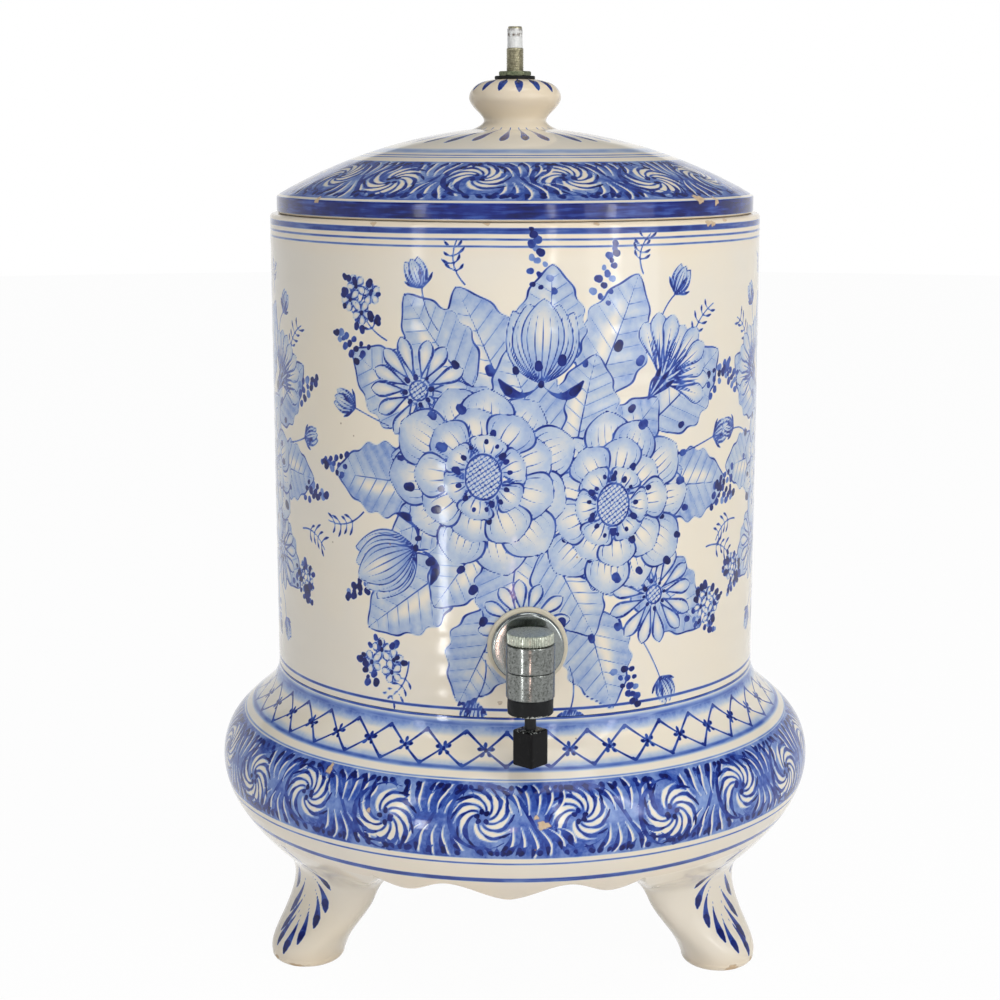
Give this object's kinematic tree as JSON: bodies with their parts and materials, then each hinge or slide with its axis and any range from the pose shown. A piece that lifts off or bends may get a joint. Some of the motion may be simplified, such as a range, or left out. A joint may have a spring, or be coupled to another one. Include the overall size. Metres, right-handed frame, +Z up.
{
  "type": "clay water pot with tap",
  "caption": "Glazed clay drinking-water pot on short legs, with a lift-off domed lid, a pipe inlet through its knob and a push-up tap near its foot.",
  "frame": {"origin": "on the pot's axis, at the floor under its legs", "axes": "+Z up along the pot's axis, the tap points along -Y, +X to the right of someone who faces the tap"},
  "size_m": [0.3476, 0.3545, 0.5289],
  "materials": {
    "glazed_clay": "glossy white tin glaze with blue brush painting",
    "plated_brass": "polished",
    "tarnished_brass": "dull and tarnished",
    "seal_tape": "matt white",
    "black_rubber": "matt",
    "cream_rubber": "matt",
    "black_plastic": "satin",
    "spring_steel": "bright drawn wire"
  },
  "bodies": {
    "pot": {"vessel_body": "glazed_clay", "base_ring": "glazed_clay", "leg_front_right": "glazed_clay", "leg_rear": "glazed_clay", "leg_front_left": "glazed_clay", "tap_outer_gasket": "cream_rubber", "tap_flange": "plated_brass", "tap_body": "plated_brass", "tap_inner_gasket": "cream_rubber", "tap_inner_nut": "tarnished_brass", "tap_sleeve": "plated_brass", "outlet_nozzle": "black_plastic", "valve_spring": "spring_steel"},
    "lid_group": {"lid": "glazed_clay", "inlet_nipple": "tarnished_brass", "inlet_seal_tape": "seal_tape", "inlet_top_washer": "black_rubber", "inlet_top_nut": "tarnished_brass", "inlet_under_washer": "black_rubber", "inlet_under_nut": "tarnished_brass"},
    "cap_group": {"tap_cap": "plated_brass", "tap_cap_seal": "black_rubber"},
    "push_valve": {"push_knob": "black_plastic", "valve_stem": "black_plastic", "valve_disc": "black_rubber"}
  },
  "joints": [
    {"name": "lid_lift", "type": "slide", "parent": "pot", "child": "lid_group", "axis": [0, 0, 1], "range_m": [0, 0.08]},
    {"name": "cap_turn", "type": "hinge", "parent": "pot", "child": "cap_group", "pos_m": [0, -0.168, 0.2124], "axis": [0, 0, 1], "range_deg": [0, 360]},
    {"name": "push_lift", "type": "slide", "parent": "pot", "child": "push_valve", "axis": [0, 0, 1], "range_m": [0, 0.0045], "stiffness_N_per_m": 400, "springref_m": -0.004, "deforming": ["valve_spring"]}
  ]
}
